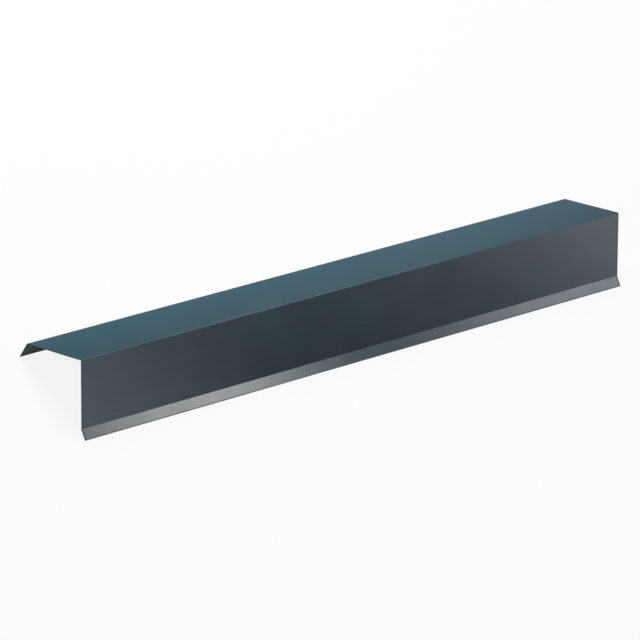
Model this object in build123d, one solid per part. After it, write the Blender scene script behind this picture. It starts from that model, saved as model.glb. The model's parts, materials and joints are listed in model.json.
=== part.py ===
from build123d import *

import os
from math import atan2, cos, degrees, radians, sin

# Verge flashing: one strip of coil-coated steel, folded three times on a press brake and cut
# square at both ends. It covers the sloping edge of a roof: the top lies on the roofing, the web
# covers the barge board, the lip at the back dips into the roofing's valley and the drip at the
# foot throws water clear of the board.
#
# The section is drawn as installed (top level, web plumb) and the finished piece is then turned to
# the way it lies by itself on a level floor, like a tent on its two long cut edges.
# Millimetres. X runs along the length, Y from the front to the back, Z up.

# Driving dimensions
LENGTH = 2000.0  # one stock length, cut square
TOP_WIDTH = 200.0  # outer face, from the front fold to the lip's fold
WEB_HEIGHT = 180.0  # outer face, from the front fold to the drip's fold
LIP_WIDTH = 50.0  # from its fold to the cut edge
LIP_SPREAD = 35.0  # degrees that the lip leans back from plumb
DRIP_WIDTH = 30.0  # from its fold to the cut edge
DRIP_SPREAD = 26.0  # degrees that the drip kicks out from plumb
SHEET = 0.7  # thickness of the coated sheet
BEND_RADIUS = 1.5  # inside radius that the brake's tool leaves in every fold


def leaning(width, degrees_back):
    """The run of a strip that hangs from its fold, leaning back from plumb (or out, if negative)."""
    lean = radians(degrees_back)
    return Vector(width * sin(lean), -width * cos(lean))


# Corners of the outer face in the section's plane, with the front fold at the origin
front_fold = Vector(0, 0)
lip_fold = Vector(TOP_WIDTH, 0)
lip_edge = lip_fold + leaning(LIP_WIDTH, LIP_SPREAD)
drip_fold = Vector(0, -WEB_HEIGHT)
drip_edge = drip_fold + leaning(DRIP_WIDTH, -DRIP_SPREAD)

# The lip and the front fold turn inwards, so the outer face takes the larger radius there.
# The drip turns outwards, and takes the tool's own radius on that face.
outside_radius = BEND_RADIUS + SHEET
fold_radii = [outside_radius, outside_radius, BEND_RADIUS]


def folded_strip():
    """The strip as installed: its outer face thickened inwards, and drawn out along the length."""
    outer_face = FilletPolyline(lip_edge, lip_fold, front_fold, drip_fold, drip_edge, radius=fold_radii)
    section = make_face(offset(outer_face, SHEET, side=Side.LEFT).edges())
    return extrude(Plane.YZ * section, LENGTH / 2, both=True)


def rest_tilt():
    """Degrees that the strip turns about X before both cut edges stand on the floor."""
    lip_foot = lip_edge + leaning(SHEET, LIP_SPREAD - 90)
    drip_foot = drip_edge + leaning(SHEET, 90 - DRIP_SPREAD)
    base = lip_foot - drip_foot
    return degrees(atan2(base.Y, base.X))


def laid_on_floor(strip):
    """The strip turned to its rest, centred over the origin with its cut edges on the floor."""
    turned = strip.rotate(Axis.X, -rest_tilt())
    box = turned.bounding_box()
    return Pos(-box.center().X, -box.center().Y, -box.min.Z) * turned


verge_flashing = laid_on_floor(folded_strip())

os.makedirs("parts", exist_ok=True)
export_step(verge_flashing, "parts/verge_flashing.step")
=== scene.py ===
"""Looks of a verge flashing: one strip of coil-coated steel sheet, folded three times on a press brake.

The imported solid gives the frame. Geometry Nodes lay out the flat blank, give it the sheet's thickness
and fold it, outermost fold first, into the same section. The strip gets its coats, its bare cut edges
and the slight belly that wide flats of folded sheet keep.
"""

import json
import logging
import math
from collections.abc import Callable
from dataclasses import dataclass
from enum import Enum, IntEnum
from functools import partial
from typing import Any

import bpy
from mathutils import Matrix, Vector


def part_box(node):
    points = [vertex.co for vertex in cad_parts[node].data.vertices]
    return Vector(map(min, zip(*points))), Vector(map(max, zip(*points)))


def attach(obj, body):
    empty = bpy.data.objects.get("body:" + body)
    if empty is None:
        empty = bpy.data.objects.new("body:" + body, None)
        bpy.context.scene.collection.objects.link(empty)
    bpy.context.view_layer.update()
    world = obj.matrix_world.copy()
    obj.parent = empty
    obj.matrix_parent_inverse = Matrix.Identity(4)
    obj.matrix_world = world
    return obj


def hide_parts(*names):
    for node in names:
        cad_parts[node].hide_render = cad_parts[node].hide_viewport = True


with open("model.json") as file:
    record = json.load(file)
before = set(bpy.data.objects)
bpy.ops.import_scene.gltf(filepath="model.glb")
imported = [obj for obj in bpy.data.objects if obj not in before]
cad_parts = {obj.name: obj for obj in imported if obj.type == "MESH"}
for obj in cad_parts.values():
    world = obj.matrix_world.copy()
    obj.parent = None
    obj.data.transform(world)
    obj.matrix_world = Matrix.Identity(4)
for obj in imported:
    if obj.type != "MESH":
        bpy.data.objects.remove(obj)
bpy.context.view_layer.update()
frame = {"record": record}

NODE = "verge_flashing"
BODY = "root"
MM = 0.001
RIGHT_ANGLE = 90.0  # degrees
FLAT = "flat_blank"  # point attribute: where a point was on the flat blank
GLOW = "glow"  # point attribute: the light that a card gives
NOISE_RANGE = (0.3, 0.7)  # most values of a noise texture lie between these
TWO_NOISES_RANGE = (0.75, 1.25)  # most sums of two such values lie between these
LOG = logging.getLogger(NODE)

Place = tuple[float, float, float]
Stops = tuple[tuple[float, float], ...]
Socket = bpy.types.NodeSocket
AddNode = Callable[..., bpy.types.Node]


class SheetFace(Enum):
    """Faces of the sheet that don't carry the outer coat, by the face attribute that marks them."""

    BACK = "back_face"
    CUT = "cut_face"


class MixInput(IntEnum):
    """Inputs of a Mix node by number, because their names repeat for each kind of value."""

    SHARE = 0
    FIRST_NUMBER = 2
    SECOND_NUMBER = 3
    FIRST_COLOUR = 6
    SECOND_COLOUR = 7


class MixOutput(IntEnum):
    """Outputs of a Mix node by number, because their names repeat for each kind of value."""

    NUMBER = 0
    COLOUR = 2


def linear(code: str) -> tuple[float, float, float, float]:
    """Turn an sRGB hex colour into linear light, by the standard's own curve.

    Args:
        code: The colour as #rrggbb.

    Returns:
        Red, green and blue in linear light, and a full alpha.
    """
    channels = [int(code[place:place + 2], 16) / 255 for place in (1, 3, 5)]
    red, green, blue = (c / 12.92 if c <= 0.04045 else ((c + 0.055) / 1.055) ** 2.4 for c in channels)
    return red, green, blue, 1.0


def add_node(
    tree: bpy.types.NodeTree,
    kind: str,
    inputs: dict[str | int, Any] | None = None,
    **settings: Any,
) -> bpy.types.Node:
    """Add a node with its settings, its values and its links.

    Args:
        tree: The tree that gets the node.
        kind: The node's type in Blender.
        inputs: Name or number of an input socket, with its value or the output socket linked to it.
        settings: Properties of the node.

    Returns:
        The new node.
    """
    node = tree.nodes.new(kind)
    for name, value in settings.items():
        setattr(node, name, value)
    for socket, value in (inputs or {}).items():
        if isinstance(value, Socket):
            tree.links.new(value, node.inputs[socket])
        else:
            node.inputs[socket].default_value = value
    return node


def empty_material(name: str) -> tuple[bpy.types.Material, AddNode]:
    """Make a material that has no nodes yet.

    Args:
        name: The material's name.

    Returns:
        The material, and the call that adds a node to its tree.
    """
    material = bpy.data.materials.new(name)
    material.use_nodes = True
    material.node_tree.nodes.clear()
    return material, partial(add_node, material.node_tree)


def scene_object(name: str, data: bpy.types.ID) -> bpy.types.Object:
    """Make an object at the origin and put it in the scene.

    Args:
        name: The object's name.
        data: Its mesh, lamp or camera.

    Returns:
        The object.
    """
    made = bpy.data.objects.new(name, data)
    bpy.context.scene.collection.objects.link(made)
    return made


@dataclass(frozen=True)
class InstalledAxes:
    """The strip's place as it is fixed on a roof: top level, web plumb, front fold at the origin."""

    matrix: Matrix

    @classmethod
    def from_mounts(cls, mounts: list[dict[str, Any]], sheet: float) -> "InstalledAxes":
        """Find the installed axes from the two faces that the strip is fixed by.

        Args:
            mounts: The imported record's mounts, roof_face and barge_face among them.
            sheet: Thickness of the sheet in metres, from those inner faces to the outer ones.

        Returns:
            The axes, with X along the length, Y to the back and Z up as installed.
        """
        faces = {mount["name"]: mount for mount in mounts}
        down = Vector(faces["roof_face"]["axis"])
        back = Vector(faces["barge_face"]["axis"])
        roof_depth = down.dot(Vector(faces["roof_face"]["pos_m"])) - sheet
        barge_depth = back.dot(Vector(faces["barge_face"]["pos_m"])) - sheet
        corner = down * roof_depth + back * barge_depth
        rotation = Matrix((Vector((1, 0, 0)), back, -down)).transposed()
        return cls(Matrix.Translation(corner) @ rotation.to_4x4())

    def point(self, place: Place) -> Vector:
        """Give a place on the installed axes as a point of the frame."""
        return self.matrix @ Vector(place)


@dataclass(frozen=True)
class BrakeFold:
    """One fold as the brake makes it on the flat blank, in metres and radians.

    The bend starts at line and takes up arc of the blank, towards the back where arc is positive.
    The blank turns about a tool whose centre is at depth above its outer face.
    """

    line: float
    arc: float
    depth: float
    turn: float


@dataclass(frozen=True)
class StripSizes:
    """Sizes of the folded strip in metres and degrees, measured on its outer face.

    Places on the flat blank run from the drip's cut edge to the lip's, and the top keeps its own place.
    """

    length: float
    top: float = 200.0 * MM
    web: float = 180.0 * MM
    lip: float = 50.0 * MM
    lip_spread: float = 35.0  # from plumb
    drip: float = 30.0 * MM
    drip_spread: float = 26.0  # from plumb
    sheet: float = 0.7 * MM
    bend_radius: float = 1.5 * MM  # inside of each fold

    @property
    def outside_radius(self) -> float:
        """Radius of the outer face where the sheet folds inwards."""
        return self.bend_radius + self.sheet

    @property
    def lip_turn(self) -> float:
        """Angle that the brake turns the lip through."""
        return math.radians(RIGHT_ANGLE - self.lip_spread)

    @property
    def front_turn(self) -> float:
        """Angle that the brake turns the web through."""
        return math.radians(RIGHT_ANGLE)

    @property
    def drip_turn(self) -> float:
        """Angle that the brake turns the drip back through."""
        return math.radians(self.drip_spread)

    def bend(self, turn: float) -> float:
        """Give the width of blank that a bend takes up, at the middle of the sheet."""
        return (self.bend_radius + self.sheet / 2) * turn

    @property
    def lip_setback(self) -> float:
        """Distance from the lip's sharp corner to where its bend starts."""
        return self.outside_radius * math.tan(self.lip_turn / 2)

    @property
    def front_setback(self) -> float:
        """Distance from the front's sharp corner to where its bend starts."""
        return self.outside_radius * math.tan(self.front_turn / 2)

    @property
    def drip_setback(self) -> float:
        """Distance from the drip's sharp corner to where its bend starts."""
        return self.bend_radius * math.tan(self.drip_turn / 2)

    @property
    def lip_flat(self) -> float:
        """Width of the lip's flat."""
        return self.lip - self.lip_setback

    @property
    def top_flat(self) -> float:
        """Width of the top's flat, between its two bends."""
        return self.top - self.lip_setback - self.front_setback

    @property
    def web_flat(self) -> float:
        """Width of the web's flat, between its two bends."""
        return self.web - self.front_setback - self.drip_setback

    @property
    def drip_flat(self) -> float:
        """Width of the drip's flat."""
        return self.drip - self.drip_setback

    @property
    def top_end(self) -> float:
        """Place on the blank where the top's flat meets the lip's bend."""
        return self.top - self.lip_setback

    @property
    def web_start(self) -> float:
        """Place on the blank where the web's flat meets the front bend."""
        return self.front_setback - self.bend(self.front_turn)

    @property
    def web_end(self) -> float:
        """Place on the blank where the web's flat meets the drip's bend."""
        return self.web_start - self.web_flat

    @property
    def drip_edge(self) -> float:
        """Place on the blank of the drip's cut edge."""
        return self.web_end - self.bend(self.drip_turn) - self.drip_flat

    @property
    def lip_edge(self) -> float:
        """Place on the blank of the lip's cut edge."""
        return self.top_end + self.bend(self.lip_turn) + self.lip_flat

    def folds(self) -> list[BrakeFold]:
        """List the folds in the order that the brake makes them.

        Returns:
            The drip's fold, the front one and the lip's, so that an outer fold comes before an inner one.
        """
        drip_bend = self.bend(self.drip_turn)
        front_bend = self.bend(self.front_turn)
        lip_bend = self.bend(self.lip_turn)
        return [
            BrakeFold(self.web_end, -drip_bend, self.bend_radius, -self.drip_turn),
            BrakeFold(self.front_setback, -front_bend, -self.outside_radius, self.front_turn),
            BrakeFold(self.top_end, lip_bend, -self.outside_radius, -self.lip_turn),
        ]


@dataclass(frozen=True)
class PaintedEdgeOutline:
    """Painted dark outline along the blank's cut edges, drawn into a coat's colour and roughness.

    It gives the eye a darker and duller border on the coat.
    """

    tone: str
    roughness: float
    at_ends: float = 7.0 * MM  # width of the painted outline along the ends cut to length
    at_sides: float = 3.5 * MM  # narrower on the coil's slit sides

    def share(self, add: AddNode, flat: Socket, sizes: StripSizes) -> Socket:
        """Say how far a place on the flat blank lies in the line.

        Args:
            add: Adds a node to the coat's tree.
            flat: The place on the flat blank.
            sizes: The strip's sizes, which say where the blank's cut edges are.

        Returns:
            1 at a cut edge, falling smoothly to 0 at the line's width.
        """
        split = add("ShaderNodeSeparateXYZ", {0: flat})
        along = add("ShaderNodeMath", {0: split.outputs["X"]}, operation="ABSOLUTE")
        from_end = add("ShaderNodeMapRange", {
            "Value": along.outputs[0],
            "From Min": sizes.length / 2,
            "From Max": sizes.length / 2 - self.at_ends,
        })
        from_drip = add("ShaderNodeMapRange", {
            "Value": split.outputs["Y"],
            "From Min": sizes.drip_edge,
            "From Max": sizes.drip_edge + self.at_sides,
        })
        from_lip = add("ShaderNodeMapRange", {
            "Value": split.outputs["Y"],
            "From Min": sizes.lip_edge,
            "From Max": sizes.lip_edge - self.at_sides,
        })
        from_side = add("ShaderNodeMath", {
            0: from_drip.outputs[0],
            1: from_lip.outputs[0],
        }, operation="MINIMUM")
        inwards = add("ShaderNodeMath", {
            0: from_end.outputs[0],
            1: from_side.outputs[0],
        }, operation="MINIMUM")
        drawn = add("ShaderNodeMapRange", {
            "Value": inwards.outputs[0],
            "To Min": 1.0,
            "To Max": 0.0,
        }, interpolation_type="SMOOTHSTEP")
        return drawn.outputs[0]

    def marked(self, add: AddNode, drawn: Socket, tone: Socket, roughness: Socket) -> dict[str, Socket]:
        """Paint the dark outline into a coat's colour, and dull its roughness, where it lies in the line.

        Args:
            add: Adds a node to the coat's tree.
            drawn: How far a place lies in the line.
            tone: The coat's own colour.
            roughness: The coat's own roughness.

        Returns:
            The colour and the roughness, by the names of the shader's sockets.
        """
        # painted dark outline: the coat's colour darkened and its roughness raised along the cut edges
        edged = add("ShaderNodeMix", {
            MixInput.SHARE: drawn,
            MixInput.FIRST_COLOUR: tone,
            MixInput.SECOND_COLOUR: linear(self.tone),
        }, data_type="RGBA")
        dulled = add("ShaderNodeMix", {
            MixInput.SHARE: drawn,
            MixInput.FIRST_NUMBER: roughness,
            MixInput.SECOND_NUMBER: self.roughness,
        })
        return {
            "Base Color": edged.outputs[MixOutput.COLOUR],
            "Roughness": dulled.outputs[MixOutput.NUMBER],
        }


@dataclass(frozen=True)
class CoilCoat:
    """Polyester coil coat on the outer face, rolled on and baked before the sheet was folded.

    It gives the eye a satin slate blue with a soft sheen, fine orange peel, faint streaks along the
    roller's run and a painted dark outline, darker and duller, along the cut edges.
    """

    name: str = "polyester_coil_coat"
    tone: str = "#364C58"
    deep_tone: str = "#314650"
    ior: float = 1.5
    roughness_low: float = 0.29
    roughness_high: float = 0.35
    streak_width: float = 7.0 * MM
    streak_run: float = 600.0 * MM
    streak_detail: float = 3.0
    mottle: float = 140.0 * MM
    mottle_detail: float = 2.0
    peel: float = 3.0 * MM  # orange peel is about 1 mm across, and is drawn coarser to show
    peel_depth: float = 0.075 * MM  # a few thousandths on the sheet, and drawn deeper to show
    peel_detail: float = 1.0
    # painted dark outline along the cut edges, darker and duller than the coat
    painted_outline: PaintedEdgeOutline = PaintedEdgeOutline(tone="#10181D", roughness=0.7)

    def material(self, sizes: StripSizes) -> bpy.types.Material:
        """Build the coat's material.

        Args:
            sizes: The strip's sizes, which say where the blank's cut edges are.

        Returns:
            The material, patterned on the flat blank.
        """
        material, add = empty_material(self.name)
        flat = add("ShaderNodeAttribute", attribute_name=FLAT).outputs["Vector"]

        # Tone: streaks along the run over a slow mottle
        run = add("ShaderNodeMapping", {
            "Vector": flat,
            "Scale": (1 / self.streak_run, 1 / self.streak_width, 0),
        })
        streaks = add("ShaderNodeTexNoise", {
            "Vector": run.outputs[0],
            "Scale": 1.0,
            "Detail": self.streak_detail,
        })
        mottle = add("ShaderNodeTexNoise", {
            "Vector": flat,
            "Scale": 1 / self.mottle,
            "Detail": self.mottle_detail,
        })
        both = add("ShaderNodeMath", {0: streaks.outputs[0], 1: mottle.outputs[0]}, operation="ADD")
        depth = add("ShaderNodeMapRange", {
            "Value": both.outputs[0],
            "From Min": TWO_NOISES_RANGE[0],
            "From Max": TWO_NOISES_RANGE[1],
        })
        toned = add("ShaderNodeMix", {
            MixInput.SHARE: depth.outputs[0],
            MixInput.FIRST_COLOUR: linear(self.deep_tone),
            MixInput.SECOND_COLOUR: linear(self.tone),
        }, data_type="RGBA")

        # Sheen: orange peel in the relief, the mottle and the painted outline's dull line in the roughness
        peel = add("ShaderNodeTexNoise", {
            "Vector": flat,
            "Scale": 1 / self.peel,
            "Detail": self.peel_detail,
        })
        relief = add("ShaderNodeBump", {"Height": peel.outputs[0], "Distance": self.peel_depth})
        rough = add("ShaderNodeMapRange", {
            "Value": mottle.outputs[0],
            "From Min": NOISE_RANGE[0],
            "From Max": NOISE_RANGE[1],
            "To Min": self.roughness_low,
            "To Max": self.roughness_high,
        })
        # painted dark outline: the coat darkened and dulled along the cut edges
        drawn = self.painted_outline.share(add, flat, sizes)
        coat = add("ShaderNodeBsdfPrincipled", {
            **self.painted_outline.marked(add, drawn, toned.outputs[MixOutput.COLOUR], rough.outputs[0]),
            "IOR": self.ior,
            "Normal": relief.outputs[0],
        })
        add("ShaderNodeOutputMaterial", {"Surface": coat.outputs[0]})
        return material


@dataclass(frozen=True)
class BackingCoat:
    """Thin epoxy backing coat on the inner face, rolled on without a top coat.

    It gives the eye a flat dark grey, a little uneven along the run, with hardly any sheen and a
    painted dark outline along the cut edges.
    """

    name: str = "epoxy_backing_coat"
    tone: str = "#657171"
    deep_tone: str = "#5C6767"
    ior: float = 1.5
    specular_level: float = 0.2  # the flat pigment stands proud of the thin resin
    roughness_low: float = 0.6
    roughness_high: float = 0.72
    streak_width: float = 12.0 * MM
    streak_run: float = 400.0 * MM
    streak_detail: float = 4.0
    # painted dark outline along the cut edges, darker and duller than the backing coat
    painted_outline: PaintedEdgeOutline = PaintedEdgeOutline(tone="#0A0D0D", roughness=0.8)

    def material(self, sizes: StripSizes) -> bpy.types.Material:
        """Build the backing coat's material.

        Args:
            sizes: The strip's sizes, which say where the blank's cut edges are.

        Returns:
            The material, patterned on the flat blank.
        """
        material, add = empty_material(self.name)
        flat = add("ShaderNodeAttribute", attribute_name=FLAT).outputs["Vector"]
        run = add("ShaderNodeMapping", {
            "Vector": flat,
            "Scale": (1 / self.streak_run, 1 / self.streak_width, 0),
        })
        streaks = add("ShaderNodeTexNoise", {
            "Vector": run.outputs[0],
            "Scale": 1.0,
            "Detail": self.streak_detail,
        })
        toned = add("ShaderNodeMix", {
            MixInput.SHARE: streaks.outputs[0],
            MixInput.FIRST_COLOUR: linear(self.deep_tone),
            MixInput.SECOND_COLOUR: linear(self.tone),
        }, data_type="RGBA")
        rough = add("ShaderNodeMapRange", {
            "Value": streaks.outputs[0],
            "From Min": NOISE_RANGE[0],
            "From Max": NOISE_RANGE[1],
            "To Min": self.roughness_low,
            "To Max": self.roughness_high,
        })
        # painted dark outline: the backing coat darkened and dulled along the cut edges
        drawn = self.painted_outline.share(add, flat, sizes)
        coat = add("ShaderNodeBsdfPrincipled", {
            **self.painted_outline.marked(add, drawn, toned.outputs[MixOutput.COLOUR], rough.outputs[0]),
            "IOR": self.ior,
            "Specular IOR Level": self.specular_level,
        })
        add("ShaderNodeOutputMaterial", {"Surface": coat.outputs[0]})
        return material


@dataclass(frozen=True)
class ShearedSteel:
    """Cut edge of galvanised steel, sheared square and left bare.

    It gives the eye a thin dull metal line, brighter where the blade burnished it and darker where
    the coat was dragged over or the last of the thickness broke away.
    """

    name: str = "sheared_galvanised_steel"
    burnished: str = "#5A6064"
    broken: str = "#2B3033"
    metallic: float = 1.0
    roughness: float = 0.45
    stretch: float = 9.0 * MM  # real stretches are under 1 mm, and are drawn longer to show
    stretch_detail: float = 4.0

    def material(self) -> bpy.types.Material:
        """Build the cut edge's material.

        Returns:
            The material, patterned on the flat blank.
        """
        material, add = empty_material(self.name)
        flat = add("ShaderNodeAttribute", attribute_name=FLAT).outputs["Vector"]
        breaks = add("ShaderNodeTexNoise", {
            "Vector": flat,
            "Scale": 1 / self.stretch,
            "Detail": self.stretch_detail,
        })
        toned = add("ShaderNodeMix", {
            MixInput.SHARE: breaks.outputs[0],
            MixInput.FIRST_COLOUR: linear(self.broken),
            MixInput.SECOND_COLOUR: linear(self.burnished),
        }, data_type="RGBA")
        steel = add("ShaderNodeBsdfPrincipled", {
            "Base Color": toned.outputs[MixOutput.COLOUR],
            "Roughness": self.roughness,
            "Metallic": self.metallic,
        })
        add("ShaderNodeOutputMaterial", {"Surface": steel.outputs[0]})
        return material


@dataclass
class FoldedStrip:
    """The whole piece: a flat blank with thickness, folded in Geometry Nodes and dressed."""

    sizes: StripSizes
    coat: CoilCoat
    backing: BackingCoat
    edge: ShearedSteel
    name: str = "folded_strip"
    guard: float = 0.6 * MM  # flat row beside each bend, which keeps the bend's shading off the flats
    row_spacing: float = 12.0 * MM
    column_spacing: float = 12.5 * MM
    bend_cuts: int = 8
    first_bend: int = 2  # spans before the first bend
    bend_every: int = 4  # spans from one bend to the next
    belly: float = 0.6 * MM  # how far a wide flat wanders from its plane
    bellies: float = 3.2  # to a metre
    belly_detail: float = 1.0
    seed: float = 7.0
    weld: float = 0.01 * MM
    sharp_angle: float = math.radians(45)

    def spans(self) -> dict[str, float]:
        """Name the widths that the blank's rows are laid out by.

        Returns:
            Widths in metres in order from the drip's cut edge, every fourth of them a bend.
        """
        sizes = self.sizes
        return {
            "Drip flat": sizes.drip_flat - self.guard,
            "Guard under drip bend": self.guard,
            "Drip bend": sizes.bend(sizes.drip_turn),
            "Guard over drip bend": self.guard,
            "Web flat": sizes.web_flat - 2 * self.guard,
            "Guard under front bend": self.guard,
            "Front bend": sizes.bend(sizes.front_turn),
            "Guard behind front bend": self.guard,
            "Top flat": sizes.top_flat - 2 * self.guard,
            "Guard before lip bend": self.guard,
            "Lip bend": sizes.bend(sizes.lip_turn),
            "Guard under lip bend": self.guard,
            "Lip flat": sizes.lip_flat - self.guard,
        }

    def tree_inputs(self) -> dict[str, float | int]:
        """Name the values that the strip's tree takes, its spans among them.

        Returns:
            Value of each input by name.
        """
        return {
            "Length": self.sizes.length,
            "Sheet": self.sizes.sheet,
            "Drip edge": self.sizes.drip_edge,
            **self.spans(),
            "Row spacing": self.row_spacing,
            "Columns": round(self.sizes.length / self.column_spacing) + 1,
            "Bend cuts": self.bend_cuts,
            "Belly": self.belly,
            "Bellies": self.bellies,
            "Seed": self.seed,
        }

    def fold_tree(self) -> bpy.types.NodeTree:
        """Build the group that bends all of the blank beyond a line around the brake's tool.

        Returns:
            The group, with the line, the arc, the tool's centre and the turn as inputs.
        """
        sockets = {
            "Blank": "NodeSocketGeometry",
            "Line": "NodeSocketFloat",
            "Arc": "NodeSocketFloat",
            "Tool centre": "NodeSocketVector",
            "Turn": "NodeSocketFloat",
        }
        tree = bpy.data.node_groups.new("brake_fold", "GeometryNodeTree")
        for name, kind in sockets.items():
            tree.interface.new_socket(name, in_out="INPUT", socket_type=kind)
        tree.interface.new_socket("Folded", in_out="OUTPUT", socket_type="NodeSocketGeometry")
        add = partial(add_node, tree)
        given = add("NodeGroupInput").outputs
        place = add("GeometryNodeInputPosition").outputs[0]
        split = add("ShaderNodeSeparateXYZ", {0: place})
        beyond = add("ShaderNodeMath", {0: split.outputs["Y"], 1: given["Line"]}, operation="SUBTRACT")
        share = add("ShaderNodeMath", {
            0: beyond.outputs[0],
            1: given["Arc"],
        }, operation="DIVIDE", use_clamp=True)

        # Slide the blank back by the arc that the bend has used, then turn it about the tool
        used = add("ShaderNodeMath", {0: share.outputs[0], 1: given["Arc"]}, operation="MULTIPLY")
        slide = add("ShaderNodeCombineXYZ", {"Y": used.outputs[0]})
        slid = add("ShaderNodeVectorMath", {0: place, 1: slide.outputs[0]}, operation="SUBTRACT")
        angle = add("ShaderNodeMath", {0: share.outputs[0], 1: given["Turn"]}, operation="MULTIPLY")
        turned = add("ShaderNodeVectorRotate", {
            "Vector": slid.outputs[0],
            "Center": given["Tool centre"],
            "Angle": angle.outputs[0],
        }, rotation_type="X_AXIS")
        folded = add("GeometryNodeSetPosition", {
            "Geometry": given["Blank"],
            "Position": turned.outputs[0],
        })
        add("NodeGroupOutput", {"Folded": folded.outputs[0]})
        return tree

    def ruler(self, add: AddNode, given: bpy.types.NodeOutputs) -> Socket:
        """Lay out the blank's rows along a line: a mark at each end of a span, with cuts between.

        Args:
            add: Adds a node to the strip's tree.
            given: The tree's inputs.

        Returns:
            A curve with one point for each row.
        """
        index = add("GeometryNodeInputIndex").outputs[0]
        names = list(self.spans())
        span = add("GeometryNodeIndexSwitch", {"Index": index}, data_type="FLOAT")
        while len(span.index_switch_items) < len(names):
            span.index_switch_items.new()
        for number, name in enumerate(names):
            span.id_data.links.new(given[name], span.inputs[number + 1])
        reached = add("GeometryNodeAccumulateField", {0: span.outputs[0]}, data_type="FLOAT")
        start = add("ShaderNodeMath", {
            0: reached.outputs["Trailing"],
            1: given["Drip edge"],
        }, operation="ADD")
        mark = add("ShaderNodeCombineXYZ", {"Y": start.outputs[0]})
        line = add("GeometryNodeMeshLine", {"Count": len(names) + 1})
        marks = add("GeometryNodeSetPosition", {"Geometry": line.outputs[0], "Position": mark.outputs[0]})

        # Bends get their own number of cuts
        spaced = add("ShaderNodeMath", {0: span.outputs[0], 1: given["Row spacing"]}, operation="DIVIDE")
        turn = add("FunctionNodeIntegerMath", {0: index, 1: self.bend_every}, operation="MODULO")
        bends = add("FunctionNodeCompare", {0: turn.outputs[0], 1: self.first_bend}, operation="EQUAL")
        cuts = add("GeometryNodeSwitch", {
            "Switch": bends.outputs[0],
            "False": spaced.outputs[0],
            "True": given["Bend cuts"],
        }, input_type="INT")
        curve = add("GeometryNodeMeshToCurve", {0: marks.outputs[0]})
        rows = add("GeometryNodeSubdivideCurve", {"Curve": curve.outputs[0], "Cuts": cuts.outputs[0]})
        return rows.outputs[0]

    def outer_face(self, add: AddNode, given: bpy.types.NodeOutputs, rows: Socket) -> Socket:
        """Make the blank's outer face: a grid whose rows take their places from the ruler.

        Args:
            add: Adds a node to the strip's tree.
            given: The tree's inputs.
            rows: The curve with one point for each row.

        Returns:
            The outer face as a mesh.
        """
        index = add("GeometryNodeInputIndex").outputs[0]
        place = add("GeometryNodeInputPosition").outputs[0]
        domain = add("GeometryNodeAttributeDomainSize", {0: rows}, component="CURVE")
        count = domain.outputs["Point Count"]
        grid = add("GeometryNodeMeshGrid", {
            "Size X": given["Length"],
            "Vertices X": given["Columns"],
            "Vertices Y": count,
        })
        row = add("FunctionNodeIntegerMath", {0: index, 1: count}, operation="MODULO")
        ruled = add("GeometryNodeSampleIndex", {
            "Geometry": rows,
            "Value": place,
            "Index": row.outputs[0],
        }, data_type="FLOAT_VECTOR")
        along = add("ShaderNodeSeparateXYZ", {0: place})
        across = add("ShaderNodeSeparateXYZ", {0: ruled.outputs[0]})
        spot = add("ShaderNodeCombineXYZ", {"X": along.outputs["X"], "Y": across.outputs["Y"]})
        outer = add("GeometryNodeSetPosition", {
            "Geometry": grid.outputs["Mesh"],
            "Position": spot.outputs[0],
        })
        return outer.outputs[0]

    def blank(self, add: AddNode, given: bpy.types.NodeOutputs, outer: Socket) -> Socket:
        """Thicken the outer face to a closed sheet that knows its flat place and its kinds of face.

        Args:
            add: Adds a node to the strip's tree.
            given: The tree's inputs.
            outer: The outer face.

        Returns:
            The flat blank as a closed mesh.
        """
        turned = add("GeometryNodeFlipFaces", {0: outer})
        thick = add("GeometryNodeExtrudeMesh", {
            "Mesh": turned.outputs[0],
            "Offset Scale": given["Sheet"],
            "Individual": False,
        }, mode="FACES")
        backed = add("GeometryNodeStoreNamedAttribute", {
            "Geometry": thick.outputs["Mesh"],
            "Name": SheetFace.BACK.value,
            "Value": thick.outputs["Top"],
        }, data_type="BOOLEAN", domain="FACE")
        edged = add("GeometryNodeStoreNamedAttribute", {
            "Geometry": backed.outputs[0],
            "Name": SheetFace.CUT.value,
            "Value": thick.outputs["Side"],
        }, data_type="BOOLEAN", domain="FACE")
        joined = add("GeometryNodeJoinGeometry", {0: outer})
        joined.id_data.links.new(edged.outputs[0], joined.inputs[0])
        closed = add("GeometryNodeMergeByDistance", {"Geometry": joined.outputs[0], "Distance": self.weld})
        blank = add("GeometryNodeStoreNamedAttribute", {
            "Geometry": closed.outputs[0],
            "Name": FLAT,
            "Value": add("GeometryNodeInputPosition").outputs[0],
        }, data_type="FLOAT_VECTOR", domain="POINT")
        return blank.outputs[0]

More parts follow.
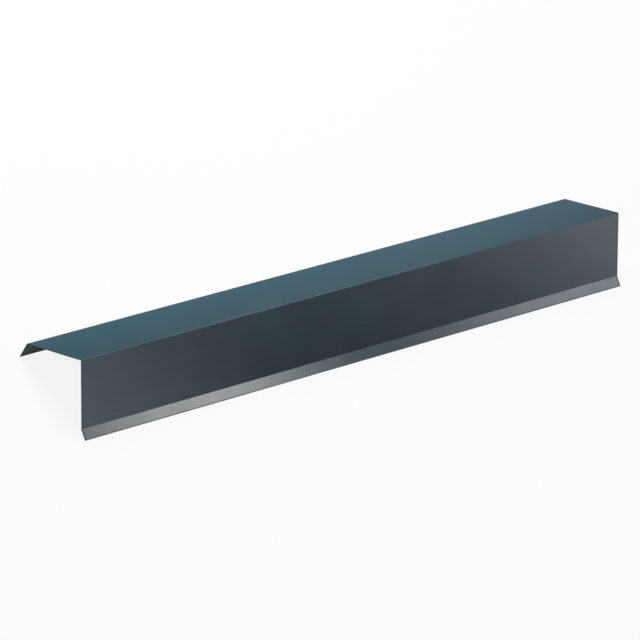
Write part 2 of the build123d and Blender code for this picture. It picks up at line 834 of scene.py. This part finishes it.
    def bellied(self, add: AddNode, given: bpy.types.NodeOutputs, blank: Socket) -> Socket:
        """Let the two wide flats wander from their plane, most of all midway between their folds.

        Args:
            add: Adds a node to the strip's tree.
            given: The tree's inputs.
            blank: The flat blank.

        Returns:
            The blank with bellied flats.
        """
        sizes = self.sizes
        place = add("GeometryNodeInputPosition").outputs[0]
        across = add("ShaderNodeSeparateXYZ", {0: place}).outputs["Y"]
        wander = add("ShaderNodeTexNoise", {
            "Vector": place,
            "W": given["Seed"],
            "Scale": given["Bellies"],
            "Detail": self.belly_detail,
        }, noise_dimensions="4D", normalize=False)
        slack = []
        for low, high in ((sizes.web_end, sizes.web_start), (sizes.front_setback, sizes.top_end)):
            bay = add("ShaderNodeMapRange", {
                "Value": across,
                "From Min": low,
                "From Max": high,
                "To Max": math.pi,
            })
            slack.append(add("ShaderNodeMath", {0: bay.outputs[0]}, operation="SINE").outputs[0])
        loose = add("ShaderNodeMath", {0: slack[0], 1: slack[1]}, operation="ADD")
        swell = add("ShaderNodeMath", {0: loose.outputs[0], 1: wander.outputs[0]}, operation="MULTIPLY")
        lift = add("ShaderNodeMath", {0: swell.outputs[0], 1: given["Belly"]}, operation="MULTIPLY")
        rise = add("ShaderNodeCombineXYZ", {"Z": lift.outputs[0]})
        bellied = add("GeometryNodeSetPosition", {"Geometry": blank, "Offset": rise.outputs[0]})
        return bellied.outputs[0]

    def folded(self, add: AddNode, blank: Socket) -> Socket:
        """Make the three folds, and leave only the sheet's own edges sharp.

        Args:
            add: Adds a node to the strip's tree.
            blank: The bellied blank.

        Returns:
            The folded strip on the installed axes.
        """
        fold_tree = self.fold_tree()
        strip = blank
        for fold in self.sizes.folds():
            strip = add("GeometryNodeGroup", {
                "Blank": strip,
                "Line": fold.line,
                "Arc": fold.arc,
                "Tool centre": (0, fold.line, fold.depth),
                "Turn": fold.turn,
            }, node_tree=fold_tree).outputs[0]
        angle = add("GeometryNodeInputMeshEdgeAngle").outputs["Unsigned Angle"]
        sharp = add("FunctionNodeCompare", {0: angle, 1: self.sharp_angle}, operation="GREATER_THAN")
        smooth = add("GeometryNodeSetShadeSmooth", {0: strip, "Shade Smooth": True})
        creased = add("GeometryNodeSetShadeSmooth", {
            0: smooth.outputs[0],
            "Selection": sharp.outputs[0],
            "Shade Smooth": False,
        }, domain="EDGE")
        return creased.outputs[0]

    def dressed(self, add: AddNode, strip: Socket) -> Socket:
        """Give each kind of face its coat.

        Args:
            add: Adds a node to the strip's tree.
            strip: The folded strip.

        Returns:
            The strip as plain mesh with its materials.
        """
        real = add("GeometryNodeRealizeInstances", {0: strip})
        coated = add("GeometryNodeSetMaterial", {
            "Geometry": real.outputs[0],
            "Material": self.coat.material(self.sizes),
        })
        finishes = {
            SheetFace.BACK: self.backing.material(self.sizes),
            SheetFace.CUT: self.edge.material(),
        }
        for face, finish in finishes.items():
            marked = add("GeometryNodeInputNamedAttribute", {"Name": face.value}, data_type="BOOLEAN")
            coated = add("GeometryNodeSetMaterial", {
                "Geometry": coated.outputs[0],
                "Selection": marked.outputs[0],
                "Material": finish,
            })
        return coated.outputs[0]

    def strip_tree(self) -> bpy.types.NodeTree:
        """Build the tree that lays out the blank, thickens it, folds it and dresses it.

        Returns:
            The tree, with the blank's sizes as named inputs.
        """
        tree = bpy.data.node_groups.new(self.name, "GeometryNodeTree")
        tree.interface.new_socket("Geometry", in_out="INPUT", socket_type="NodeSocketGeometry")
        for name, value in self.tree_inputs().items():
            kind = "NodeSocketInt" if isinstance(value, int) else "NodeSocketFloat"
            tree.interface.new_socket(name, in_out="INPUT", socket_type=kind)
        tree.interface.new_socket("Geometry", in_out="OUTPUT", socket_type="NodeSocketGeometry")
        add = partial(add_node, tree)
        given = add("NodeGroupInput").outputs
        rows = self.ruler(add, given)
        outer = self.outer_face(add, given, rows)
        blank = self.blank(add, given, outer)
        bellied = self.bellied(add, given, blank)
        folded = self.folded(add, bellied)
        dressed = self.dressed(add, folded)
        add("NodeGroupOutput", {"Geometry": dressed})
        return tree

    def build(self, installed: InstalledAxes) -> bpy.types.Object:
        """Run the tree once, and keep its result as a plain mesh where the strip lies.

        Args:
            installed: The axes that the strip is folded on.

        Returns:
            The finished piece, at the origin and with its place in its mesh.
        """
        holder = scene_object("flat_blank_holder", bpy.data.meshes.new("flat_blank_holder"))
        tree = self.strip_tree()
        modifier = holder.modifiers.new("press_brake", "NODES")
        modifier.node_group = tree
        values = self.tree_inputs()
        for item in tree.interface.items_tree:
            if item.name in values:
                modifier[item.identifier] = values[item.name]
        depsgraph = bpy.context.evaluated_depsgraph_get()
        mesh = bpy.data.meshes.new_from_object(holder.evaluated_get(depsgraph))
        bpy.data.objects.remove(holder)
        mesh.name = self.name
        mesh.materials.pop(index=0)  # the empty slot that the tree's grid brings
        mesh.transform(installed.matrix)
        return scene_object(self.name, mesh)


@dataclass(frozen=True)
class Softbox:
    """A rectangular lamp of even brightness, placed on the installed axes in metres."""

    name: str
    place: Place
    aim: Place
    width: float
    height: float
    brightness: float

    def build(self, installed: InstalledAxes) -> bpy.types.Object:
        """Hang the lamp.

        Args:
            installed: The axes that it is placed on.

        Returns:
            The lamp's object.
        """
        lamp = bpy.data.lights.new(self.name, "AREA")
        lamp.shape = "RECTANGLE"
        lamp.size = self.width
        lamp.size_y = self.height
        lamp.energy = self.brightness * math.pi * self.width * self.height
        hung = scene_object(self.name, lamp)
        hung.location = installed.point(self.place)
        towards = installed.point(self.aim) - hung.location
        hung.rotation_euler = towards.to_track_quat("-Z", "Y").to_euler()
        hung.visible_camera = False
        return hung


@dataclass(frozen=True)
class GlossCard:
    """A graduated card that only the strip's gloss sees, in the frame in metres.

    Its brightness is given at shares of its length from the near end, and fades towards its head. Where
    it has two tints, the first turns evenly into the second along its length.
    """

    name: str
    near_foot: Place
    near_head: Place
    run: float  # along X, from the near end to the far end
    glow: Stops
    fade: float = 1.0  # the head's brightness as a multiple of the foot's
    tints: tuple[str, ...] = ("#FFFFFF",)

    def mesh(self) -> bpy.types.Mesh:
        """Make the card's faces, one column from each stop of its brightness to the next.

        Returns:
            The mesh, with the light that it gives as a point attribute.
        """
        near_tint = Vector(linear(self.tints[0]))
        far_tint = Vector(linear(self.tints[-1]))
        corners = []
        lights = []
        for share, brightness in self.glow:
            along = Vector((share * self.run, 0, 0))
            corners += [Vector(self.near_foot) + along, Vector(self.near_head) + along]
            light = near_tint.lerp(far_tint, share) * brightness
            lights += [*light, *(light * self.fade)]
        faces = [(foot, foot + 2, foot + 3, foot + 1) for foot in range(0, len(corners) - 2, 2)]
        mesh = bpy.data.meshes.new(self.name)
        mesh.from_pydata(corners, [], faces)
        mesh.attributes.new(GLOW, "FLOAT_COLOR", "POINT").data.foreach_set("color", lights)
        return mesh

    def build(self) -> bpy.types.Object:
        """Stand the card up, out of sight of the camera and of the light.

        Returns:
            The card's object.
        """
        material, add = empty_material(self.name)
        glow = add("ShaderNodeAttribute", attribute_name=GLOW).outputs["Color"]
        light = add("ShaderNodeEmission", {"Color": glow})
        add("ShaderNodeOutputMaterial", {"Surface": light.outputs[0]})
        card = scene_object(self.name, self.mesh())
        card.data.materials.append(material)
        card.visible_camera = False
        card.visible_diffuse = False
        card.visible_shadow = False
        card.visible_transmission = False
        return card


@dataclass(frozen=True)
class Studio:
    """Pale floor, plain surroundings, one overhead lamp and the cards that the strip's gloss shows."""

    floor_half: float = 60.0
    floor_tone: str = "#F8F8F8"
    floor_lift: float = 0.88  # share of the floor's white that the strip's shadow doesn't reach
    wall_tone: str = "#E7E7E7"
    ambient: float = 0.24
    lamps: tuple[Softbox, ...] = (
        Softbox(
            "overhead_softbox",
            place=(0.2, 0.1, 5.0),
            aim=(0.0, 0.1, 0.0),
            width=4.0,
            height=4.0,
            brightness=5.4,
        ),
    )
    cards: tuple[GlossCard, ...] = (
        GlossCard(
            "low_card_behind_top",
            near_foot=(-1.4, 0.16, 0.002),
            near_head=(-1.34, 0.36, 0.14),
            run=4.6,
            glow=((0.0, 1.95), (0.25, 2.05), (0.42, 2.35), (0.52, 2.2), (0.65, 1.85), (1.0, 1.75)),
            fade=0.14,
            tints=("#447C8A", "#767E8A"),
        ),
        GlossCard(
            "high_card_behind_top",
            near_foot=(-1.34, 0.36, 0.14),
            near_head=(-1.0, 1.6, 1.0),
            run=4.6,
            glow=((0.0, 0.3), (0.25, 0.4), (0.36, 0.85), (0.5, 0.85), (0.62, 0.35), (1.0, 0.3)),
            fade=0.5,
            tints=("#7A8288",),
        ),
        GlossCard(
            "card_before_web",
            near_foot=(-1.08, -0.25, 0.01),
            near_head=(-0.69, -1.0, 0.8),
            run=2.85,
            glow=(
                (0.0, 1.8), (0.08, 1.35), (0.3, 0.15), (0.46, 0.1),
                (0.65, 0.55), (0.84, 1.6), (1.0, 2.1),
            ),
            fade=1.2,
            tints=("#FAF5FF",),
        ),
        GlossCard(
            "card_before_drip",
            near_foot=(-0.5, -0.55, 0.63),
            near_head=(-0.5, -0.28, 0.77),
            run=2.6,
            glow=(
                (0.0, 2.0), (0.08, 5.1), (0.2, 15.2), (0.26, 12.6),
                (0.39, 0.2), (0.55, 0.1), (0.74, 6.7), (1.0, 4.3),
            ),
            tints=("#FFF5EB", "#FAFBFF"),
        ),
        GlossCard(
            "card_over_fold",
            near_foot=(-0.6, 0.2, 0.83),
            near_head=(-0.6, 0.45, 0.685),
            run=2.4,
            glow=((0.0, 3.0), (0.1, 7.0), (0.56, 7.0), (0.75, 0.4), (1.0, 0.3)),
            tints=("#A4C4D2",),
        ),
        GlossCard(
            "flag_before_fold",
            near_foot=(-1.0, -0.0277, 0.17),
            near_head=(-1.0, -0.0215, 0.1745),
            run=2.02,
            glow=((0.0, 0.4), (1.0, 0.4)),
        ),
    )

    def seen(self, add: AddNode) -> Socket:
        """Give 1 for the rays that carry the background to the camera, the gloss or through glass.

        Args:
            add: Adds a node to the tree.

        Returns:
            The factor as a socket.
        """
        path = add("ShaderNodeLightPath").outputs
        plain = add("ShaderNodeMath", {
            0: path["Is Camera Ray"],
            1: path["Is Glossy Ray"],
        }, operation="MAXIMUM")
        either = add("ShaderNodeMath", {
            0: plain.outputs[0],
            1: path["Is Transmission Ray"],
        }, operation="MAXIMUM")
        return either.outputs[0]

    def floor(self) -> bpy.types.Object:
        """Lay the floor, white where it is seen and still carrying the strip's shadow.

        Returns:
            The floor's object.
        """
        half = self.floor_half
        corners = [(-half, -half, 0), (half, -half, 0), (half, half, 0), (-half, half, 0)]
        mesh = bpy.data.meshes.new("studio_floor")
        mesh.from_pydata(corners, [], [(0, 1, 2, 3)])
        material, add = empty_material("white_floor_paper")
        paper = add("ShaderNodeBsdfDiffuse", {"Color": linear(self.floor_tone)})
        white = add("ShaderNodeEmission")
        lift = add("ShaderNodeMath", {0: self.seen(add), 1: self.floor_lift}, operation="MULTIPLY")
        shown = add("ShaderNodeMixShader", {0: lift.outputs[0], 1: paper.outputs[0], 2: white.outputs[0]})
        add("ShaderNodeOutputMaterial", {"Surface": shown.outputs[0]})
        mesh.materials.append(material)
        laid = scene_object("studio_floor", mesh)
        return laid

    def surroundings(self) -> None:
        """Set the world: a pale wall where it is seen, and a weak even light on the strip."""
        world = bpy.data.worlds.new("studio")
        world.use_nodes = True
        world.node_tree.nodes.clear()
        add = partial(add_node, world.node_tree)
        strength = add("ShaderNodeMapRange", {
            "Value": self.seen(add),
            "To Min": self.ambient,
            "To Max": 1.0,
        })
        light = add("ShaderNodeBackground", {
            "Color": linear(self.wall_tone),
            "Strength": strength.outputs[0],
        })
        add("ShaderNodeOutputWorld", {"Surface": light.outputs[0]})
        bpy.context.scene.world = world

    def build(self, installed: InstalledAxes) -> None:
        """Set up the whole studio.

        Args:
            installed: The axes that the lamps are placed on.
        """
        self.surroundings()
        self.floor()
        for lamp in self.lamps:
            lamp.build(installed)
        for card in self.cards:
            card.build()


@dataclass(frozen=True)
class PhotoCamera:
    """The photograph's viewpoint on the installed axes, in metres and degrees."""

    name: str = "photo_camera"
    aim: Place = (-0.0812, 0.0773, -0.1011)
    distance: float = 13.7717
    heading: float = 45.207  # from the way back towards the length
    dip: float = 16.554
    roll: float = 0.402
    lens: float = 296.02  # millimetres on a 36 mm sensor
    far_clip: float = 200.0  # past the floor's corners

    def build(self, installed: InstalledAxes) -> bpy.types.Object:
        """Place the camera and make it the scene's own.

        Args:
            installed: The axes that it is placed on.

        Returns:
            The camera's object.
        """
        heading = math.radians(self.heading)
        dip = math.radians(self.dip)
        forward = Vector((
            math.cos(dip) * math.sin(heading),
            math.cos(dip) * math.cos(heading),
            -math.sin(dip),
        ))
        level = forward.cross(Vector((0, 0, 1))).normalized()
        right = Matrix.Rotation(-math.radians(self.roll), 3, forward) @ level
        turned = Matrix((right, right.cross(forward), -forward)).transposed()
        place = Vector(self.aim) - self.distance * forward
        lens = bpy.data.cameras.new(self.name)
        lens.lens = self.lens
        lens.clip_end = self.far_clip
        camera = scene_object(self.name, lens)
        camera.matrix_world = installed.matrix @ Matrix.Translation(place) @ turned.to_4x4()
        bpy.context.scene.camera = camera
        return camera


def main() -> None:
    """Build the strip, the studio and the camera, and report what was made."""
    logging.basicConfig(level=logging.INFO, format="%(name)s: %(message)s")
    bpy.context.scene.view_settings.view_transform = "Standard"
    low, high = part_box(NODE)
    sizes = StripSizes(length=high.x - low.x)
    installed = InstalledAxes.from_mounts(frame["record"]["mounts"], sizes.sheet)
    piece = FoldedStrip(sizes, CoilCoat(), BackingCoat(), ShearedSteel()).build(installed)
    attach(piece, BODY)
    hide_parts(NODE)
    LOG.info("%s: %d faces, %d coats", piece.name, len(piece.data.polygons), len(piece.data.materials))
    Studio().build(installed)
    PhotoCamera().build(installed)


if __name__ == "__main__":
    main()
